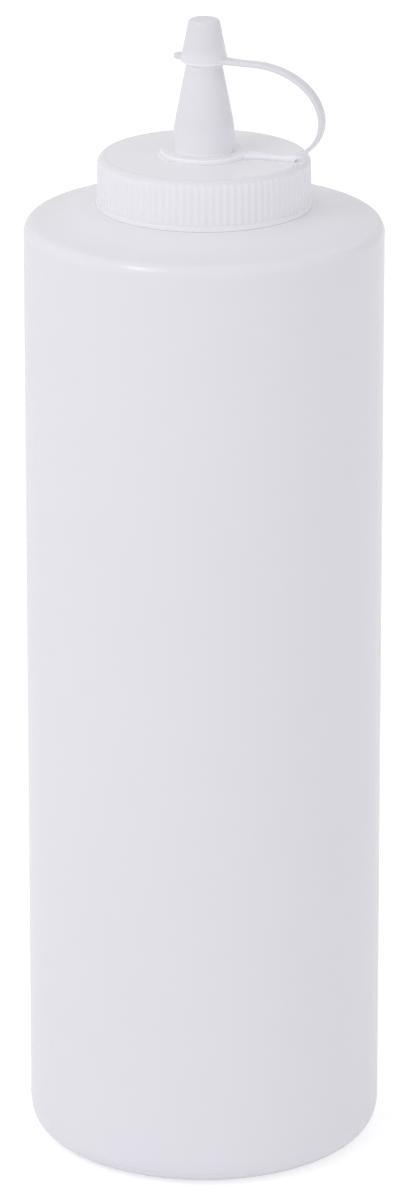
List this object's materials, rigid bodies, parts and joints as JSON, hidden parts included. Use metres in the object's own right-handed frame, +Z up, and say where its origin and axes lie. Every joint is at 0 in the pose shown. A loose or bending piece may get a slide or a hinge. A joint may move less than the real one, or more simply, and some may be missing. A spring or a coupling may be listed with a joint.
{
  "type": "squeeze bottle",
  "caption": "Tall round squeeze bottle in milky plastic, with a ribbed screw cap, a cone nozzle and a tip closure on a strap.",
  "frame": {"origin": "centre of the base, on the surface it stands on", "axes": "+Z up along the bottle's axis; the strap leaves towards +X, turned a little to -Y, which is the front"},
  "size_m": [0.07, 0.07, 0.2289],
  "materials": {
    "bottle_plastic": "satin, milky and translucent",
    "cap_plastic": "satin, milky and translucent",
    "closure_plastic": "satin, milky and translucent"
  },
  "bodies": {
    "root": {"bottle": "bottle_plastic", "cap": "cap_plastic", "closure": "closure_plastic"}
  },
  "joints": []
}
